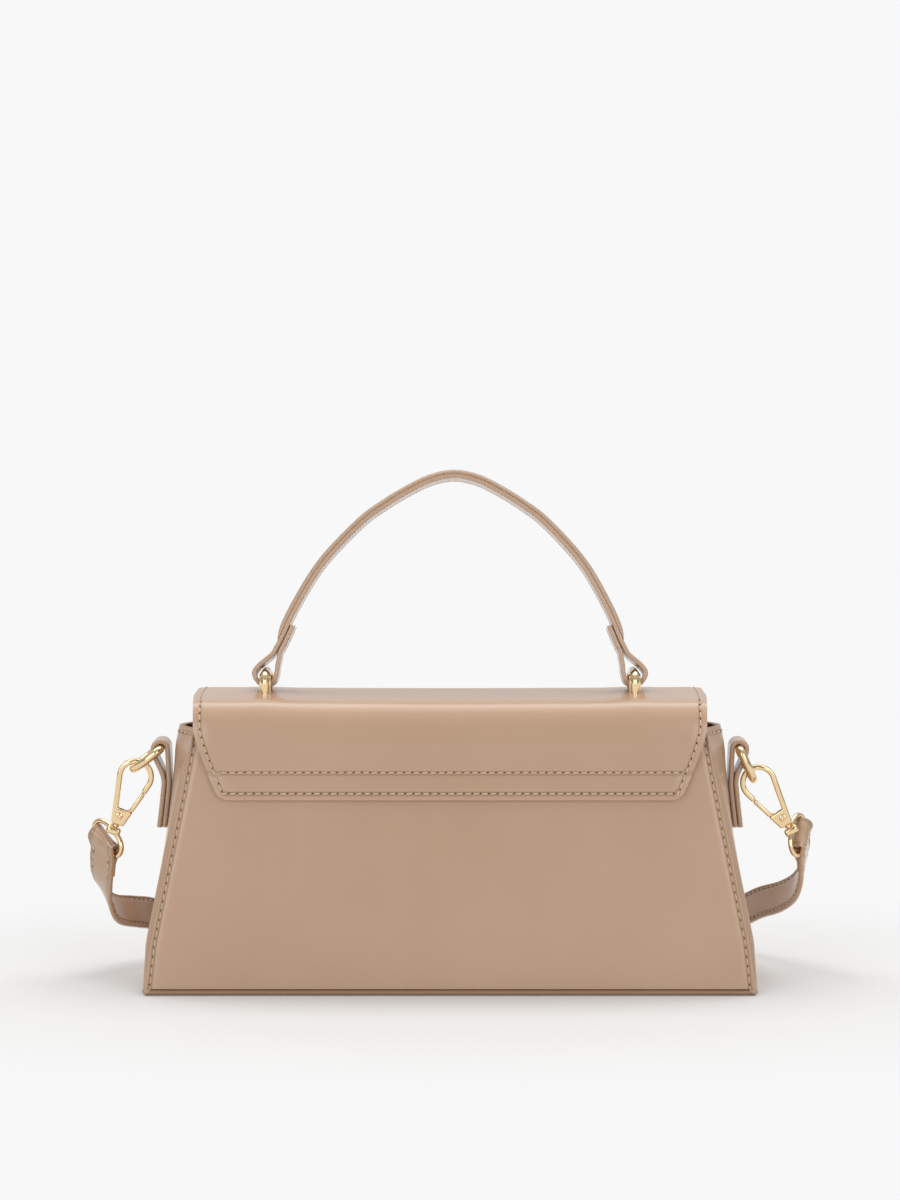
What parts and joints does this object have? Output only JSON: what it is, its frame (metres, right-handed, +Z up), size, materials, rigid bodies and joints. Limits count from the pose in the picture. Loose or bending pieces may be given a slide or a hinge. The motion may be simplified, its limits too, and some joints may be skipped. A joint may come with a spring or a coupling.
{
  "type": "satchel",
  "caption": "Small top-handle leather satchel with folded flap, padded handle on metal bridges, and detachable shoulder strap on swivel snap hooks.",
  "frame": {"origin": "centre of the flat base, on the surface that the bag stands on", "axes": "+Z up; +X along the bag's length; -Y out of the back, where the flap's closed seam is"},
  "size_m": [0.3303, 0.1241, 0.2298],
  "materials": {
    "taupe_leather": "smooth, semi-gloss",
    "leather_flesh_side": "matte",
    "lining_cloth": "woven, matte",
    "grey_board": "matte",
    "pale_gold_plate": "polished plate",
    "plain_steel": "plain"
  },
  "bodies": {
    "bag": {"back_panel": "taupe_leather", "front_panel": "taupe_leather", "gusset_left": "taupe_leather", "gusset_right": "taupe_leather", "base_panel": "taupe_leather", "base_board": "grey_board", "lining": "lining_cloth", "rim_facing": "leather_flesh_side", "flap_tail": "taupe_leather", "tab_left": "taupe_leather", "tab_right": "taupe_leather", "snap_socket": "pale_gold_plate", "snap_washer": "plain_steel", "strap_middle": "taupe_leather", "strap_end_left": "taupe_leather", "strap_end_right": "taupe_leather"},
    "flap": {"flap_leather": "taupe_leather", "flap_lining": "leather_flesh_side", "bridge_left": "pale_gold_plate", "bridge_right": "pale_gold_plate", "bridge_plate_left": "plain_steel", "bridge_plate_right": "plain_steel", "snap_stud": "pale_gold_plate"},
    "handle": {"handle_strap": "taupe_leather", "handle_cover": "taupe_leather"},
    "ring_left": {"ring_left": "pale_gold_plate"},
    "hook_left": {"hook_frame_left": "pale_gold_plate", "hook_rivet_left": "pale_gold_plate", "gate_spring_left": "plain_steel"},
    "gate_left": {"hook_gate_left": "pale_gold_plate"},
    "swivel_left": {"swivel_ring_left": "pale_gold_plate"},
    "ring_right": {"ring_right": "pale_gold_plate"},
    "hook_right": {"hook_frame_right": "pale_gold_plate", "hook_rivet_right": "pale_gold_plate", "gate_spring_right": "plain_steel"},
    "gate_right": {"hook_gate_right": "pale_gold_plate"},
    "swivel_right": {"swivel_ring_right": "pale_gold_plate"}
  },
  "joints": [
    {"name": "flap_hinge", "type": "hinge", "parent": "bag", "child": "flap", "pos_m": [0, -0.03545, 0.1003], "axis": [1, 0, 0], "range_deg": [0, 125]},
    {"name": "handle_tilt", "type": "hinge", "parent": "flap", "child": "handle", "pos_m": [0, 0, 0.1385], "axis": [1, 0, 0], "range_deg": [-1, 22]},
    {"name": "ring_swing_left", "type": "hinge", "parent": "bag", "child": "ring_left", "pos_m": [-0.1298, 0, 0.1053], "axis": [0, 1, 0], "range_deg": [-12, 30], "deforming": ["strap_end_left"]},
    {"name": "hook_swing_left", "type": "hinge", "parent": "ring_left", "child": "hook_left", "pos_m": [-0.14249, 0, 0.09556], "axis": [0, 1, 0], "range_deg": [-10, 20], "deforming": ["strap_end_left"]},
    {"name": "gate_press_left", "type": "hinge", "parent": "hook_left", "child": "gate_left", "pos_m": [-0.14905, 0, 0.07423], "axis": [0, -1, 0], "range_deg": [0, 22], "stiffness_Nm_per_rad": 0.02, "springref_deg": -17.19},
    {"name": "swivel_turn_left", "type": "hinge", "parent": "hook_left", "child": "swivel_left", "pos_m": [-0.14905, 0, 0.07423], "axis": [0.3665, 0, 0.9304], "range_deg": [-30, 30], "deforming": ["strap_end_left"]},
    {"name": "ring_swing_right", "type": "hinge", "parent": "bag", "child": "ring_right", "pos_m": [0.1298, 0, 0.1053], "axis": [0, -1, 0], "range_deg": [-2, 40], "deforming": ["strap_end_right"]},
    {"name": "hook_swing_right", "type": "hinge", "parent": "ring_right", "child": "hook_right", "pos_m": [0.13644, 0, 0.09074], "axis": [0, -1, 0], "range_deg": [-4, 20], "deforming": ["strap_end_right"]},
    {"name": "gate_press_right", "type": "hinge", "parent": "hook_right", "child": "gate_right", "pos_m": [0.14991, 0, 0.07346], "axis": [0, 1, 0], "range_deg": [0, 22], "stiffness_Nm_per_rad": 0.02, "springref_deg": -17.19},
    {"name": "swivel_turn_right", "type": "hinge", "parent": "hook_right", "child": "swivel_right", "pos_m": [0.14991, 0, 0.07346], "axis": [-0.5519, 0, 0.8339], "range_deg": [-30, 30], "deforming": ["strap_end_right"]}
  ]
}
